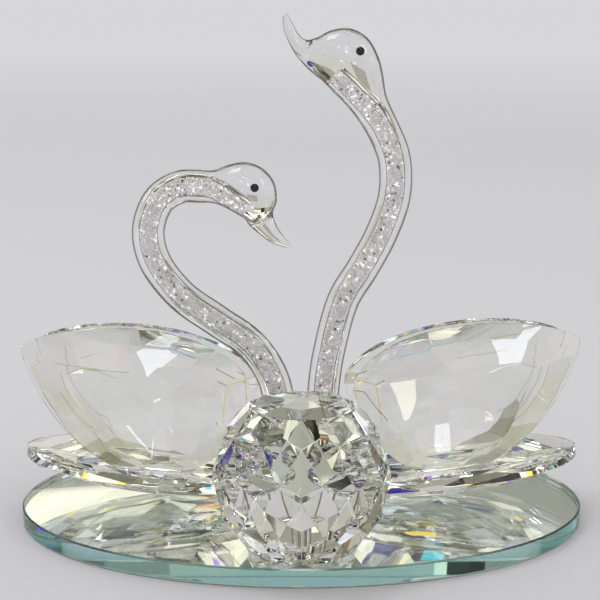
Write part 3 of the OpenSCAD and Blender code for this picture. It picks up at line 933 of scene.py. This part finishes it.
adhesiveGlaze = clearAdhesive()
recoat("ball_adhesive", adhesiveGlaze)
eyeBlack, chipCrystal, neckGlass = eyeEnamel(), chipStone(), blownGlass()
chip = breakChip()
for index, side in enumerate(("left", "right")):
    mirrored = side == "left"
    cutGlass = crystalGlass(side + "SwanCrystal", swanPatches(mirrored))
    body = cutBody(side + "_body_cut", mirrored, swan["seed"] + index)
    body.data.materials.append(cutGlass)
    handOver(body, "crystal", side + "_body")
    for hand, name in ((-1, "front_wing"), (1, "rear_wing")):
        wingPiece = cutWing(f"{side}_{name}_cut", hand, wing["pitch"][side], mirrored,
                            wing["seed"] + 2 * index + hand)
        wingPiece.data.materials.append(cutGlass)
        handOver(wingPiece, "crystal", f"{side}_{name}")
    glass, line = blowNeck(side)
    glass.data.materials.append(neckGlass)
    handOver(glass, "blown_glass", side + "_neck", side + "_head")
    grains = fillNeck(side, line, chip)
    grains.data.materials.append(chipCrystal)
    handOver(grains, "chips", side + "_chips")
    dots = paintEyes(side)
    dots.data.materials.append(eyeBlack)
    handOver(dots, "enamel", side + "_eyes")
    recoat(side + "_adhesive", adhesiveGlaze)
    print(side, "swan made")


# ---- floor and light ----

studio = {
    "floor": 30.0, "edges": 96, "roughness": 0.75, "sky": 0.9, "skyColour": (0.99, 0.99, 1.0, 1),
    # painted shade and light: the floor's tone is darker near the ornament and lighter far from it, and from
    # and to which distance it changes
    "near": (0, (0.595, 0.59, 0.605)), "far": (1, (0.76, 0.755, 0.775)),
    "change": {"From Min": 0.1, "From Max": 3.5},
    "cloudScale": 5.0, "cloudDetail": 5.0, "cloudShare": 0.12,
}
lights = {  # place, what it points at, size, power and colour
    "softTop": ((-0.35, 0.1, 1.3), (0, 0, 0.05), (0.5, 0.35), 2.4, (1, 0.985, 0.96)),
    "softRight": ((0.9, -0.2, 0.8), (0, 0, 0.06), (0.2, 0.35), 0.9, (1, 0.97, 0.90)),
    "softLeft": ((-0.9, 0.2, 0.55), (0, 0, 0.06), (0.2, 0.3), 0.8, (0.95, 0.97, 1)),
}
lightPath = {"max_bounces": 28, "transmission_bounces": 28, "glossy_bounces": 16,
             "transparent_max_bounces": 24, "blur_glossy": 0.3}


def layFloor():
    deselectAll()
    bpy.ops.mesh.primitive_circle_add(vertices=studio["edges"], radius=studio["floor"], fill_type="NGON")
    floor = bpy.context.object
    floor.name = "floor"
    material, tree, shader = newMaterial("paleFloor")
    setInputs(shader, {"Roughness": studio["roughness"], "Specular IOR Level": 0.0})
    where = addNode(tree, "TexCoord")
    away = addNode(tree, "VectorMath", operation="LENGTH")
    cloud = addNode(tree, "TexNoise", Scale=studio["cloudScale"], Detail=studio["cloudDetail"])
    blend = addNode(tree, "Math", operation="MULTIPLY_ADD")
    blend.inputs[1].default_value = studio["cloudShare"]
    spread = addNode(tree, "MapRange", interpolation_type="SMOOTHSTEP")
    setInputs(spread, studio["change"])
    # painted shade near the ornament, painted light far from it
    shades = twoTones(tree, studio["near"], studio["far"])
    tree.links.new(where.outputs["Object"], away.inputs[0])
    tree.links.new(where.outputs["Object"], cloud.inputs["Vector"])
    tree.links.new(cloud.outputs["Fac"], blend.inputs[0])
    tree.links.new(away.outputs["Value"], blend.inputs[2])
    tree.links.new(blend.outputs[0], spread.inputs["Value"])
    tree.links.new(spread.outputs["Result"], shades.inputs["Fac"])
    tree.links.new(shades.outputs["Color"], shader.inputs["Base Color"])
    floor.data.materials.append(material)


def hangLight(name, place, aim, size, power, colour):
    data = bpy.data.lights.new(name, "AREA")
    data.shape = "RECTANGLE"
    data.size, data.size_y = size
    data.energy = power
    data.color = colour
    light = bpy.data.objects.new(name, data)
    light.location = place
    light.rotation_euler = (Vector(aim) - Vector(place)).to_track_quat("-Z", "Y").to_euler()
    bpy.context.scene.collection.objects.link(light)
    return light


def fillWorld():
    world = bpy.data.worlds.new("studio")
    bpy.context.scene.world = world
    world.use_nodes = True
    back = world.node_tree.nodes["Background"]
    setInputs(back, {"Color": studio["skyColour"], "Strength": studio["sky"]})


# A dome of cloths, boards and windows that only the glass sees, so that its facets have something to show.
dome = {
    "radius": 1.7, "around": 192, "rows": 48, "aboveFloor": 0.001, "seed": 8,
    "tall": (2, 4, 4, 6), "wide": (4, 6, 6, 8, 10),  # cells that a panel may be high and wide
    "flashes": 110, "flashRows": (14, 27), "flashTones": ("cyan", "violet", "yellow", "orange"),
}
domeTones = {
    "black": (0.02, 0.019, 0.013), "brown": (0.10, 0.088, 0.05), "olive": (0.20, 0.195, 0.135),
    "mid": (0.37, 0.365, 0.315), "pale": (0.60, 0.595, 0.55), "cream": (1.3, 1.22, 1.0),
    "sky": (0.98, 1.02, 1.2), "navy": (0.035, 0.03, 0.26), "cyan": (0.1, 1.0, 1.2),
    "violet": (0.5, 0.15, 1.5), "yellow": (1.5, 1.1, 0.1), "orange": (1.6, 0.5, 0.08),
    "lamp": (7.0, 7.2, 8.0), "warmLamp": (7.5, 6.9, 5.6),
}
domeShares = [  # up to this height in degrees, how often each tone comes
    (12, [("mid", 0.1), ("pale", 0.9)]),
    (24, [("black", 0.07), ("brown", 0.11), ("olive", 0.17), ("mid", 0.30), ("pale", 0.27), ("cream", 0.05),
          ("sky", 0.02), ("navy", 0.01)]),
    (50, [("black", 0.22), ("brown", 0.14), ("olive", 0.12), ("mid", 0.12), ("pale", 0.17), ("cream", 0.16),
          ("sky", 0.06), ("navy", 0.01)]),
    (90, [("black", 0.13), ("brown", 0.12), ("olive", 0.20), ("mid", 0.22), ("pale", 0.22), ("cream", 0.07),
          ("sky", 0.03), ("navy", 0.01)]),
]
domePatches = [  # bearing (0 is behind the ornament) and height, from and to, and the tone
    (168, 177, 26, 34, "lamp"), (166, 174, 37, 41, "lamp"), (-175, -167, 37, 41, "warmLamp"),
    (-173, -164, 0, 4, "warmLamp"), (110, 121, 6, 15, "navy"), (134, 143, 7, 14, "navy"),
    (156, 166, 0, 7, "navy"), (119, 128, 29, 37, "navy"), (118, 123, 19, 24, "violet"),
    (102, 108, 44, 49, "violet"), (-129, -113, 21, 30, "brown"), (-128, -120, 30, 38, "black"),
    (-151, -142, 37, 45, "brown"), (-23, -15, 15, 22, "black"), (-46, -38, 22, 30, "brown"),
    (-143, -135, 7, 15, "brown"), (-68, -59, 30, 38, "black"), (-166, -157, 0, 7, "brown"),
    (28, 34, 24, 32, "black"), (-13, 13, 20, 24, "pale"),
]


def choosePanels():
    draw = random.Random(dome["seed"])
    tones = {}
    row = 0
    while row < dome["rows"]:
        tall = draw.choice(dome["tall"])
        height = (row + tall / 2) * 90 / dome["rows"]
        shares = next(shares for top, shares in domeShares if height < top)
        column = 0
        while column < dome["around"]:
            wide = draw.choice(dome["wide"])
            left = draw.random()
            for tone, share in shares:
                left -= share
                if left < 0:
                    break
            for i in range(row, row + tall):
                for j in range(column, min(dome["around"], column + wide)):
                    tones[i, j] = tone
            column += wide
        row += tall
    low, high = dome["flashRows"]
    for _ in range(dome["flashes"]):
        spot = int(low + draw.random() * (high - low)), draw.randrange(dome["around"])
        tones[spot] = draw.choice(dome["flashTones"])
    return tones


def raiseDome():
    tones = choosePanels()
    deselectAll()
    bpy.ops.mesh.primitive_uv_sphere_add(segments=dome["around"], ring_count=2 * dome["rows"],
                                         radius=dome["radius"])
    tent = bpy.context.object
    tent.name = "dome"
    editMode(True)
    selectAll()
    bpy.ops.mesh.bisect(plane_co=(0, 0, dome["aboveFloor"]), plane_no=(0, 0, 1), clear_inner=True)
    editMode(False)
    tone = tent.data.attributes.new("panelTone", "FLOAT_COLOR", "CORNER")
    for face in tent.data.polygons:
        x, y, z = face.center
        bearing = math.degrees(math.atan2(x, y))
        height = math.degrees(math.atan2(z, math.hypot(x, y)))
        row = min(dome["rows"] - 1, int(height * dome["rows"] / 90))
        column = int((bearing + 180) * dome["around"] / 360) % dome["around"]
        name = tones[row, column]
        for fromBearing, toBearing, fromHeight, toHeight, patchTone in domePatches:
            if fromBearing < bearing < toBearing and fromHeight < height < toHeight:
                name = patchTone
        for corner in face.loop_indices:
            tone.data[corner].color = (*domeTones[name], 1)
    tent.visible_camera = tent.visible_diffuse = tent.visible_shadow = False
    material, tree, shader = newMaterial("domePanels")
    tree.nodes.remove(shader)
    glow = addNode(tree, "Emission")
    panel = addNode(tree, "Attribute", attribute_name="panelTone")
    tree.links.new(panel.outputs["Color"], glow.inputs["Color"])
    tree.links.new(glow.outputs["Emission"], tree.nodes["Material Output"].inputs["Surface"])
    material.cycles.emission_sampling = "NONE"
    tent.data.materials.append(material)


layFloor()
fillWorld()
raiseDome()
hung = {name: hangLight(name, *values) for name, values in lights.items()}
hung["softTop"].visible_transmission = False  # the wings' lower faces would show it as a white band
scene = bpy.context.scene
scene.view_settings.view_transform = "Standard"
for name, value in lightPath.items():
    setattr(scene.cycles, name, value)
print("studio lit")
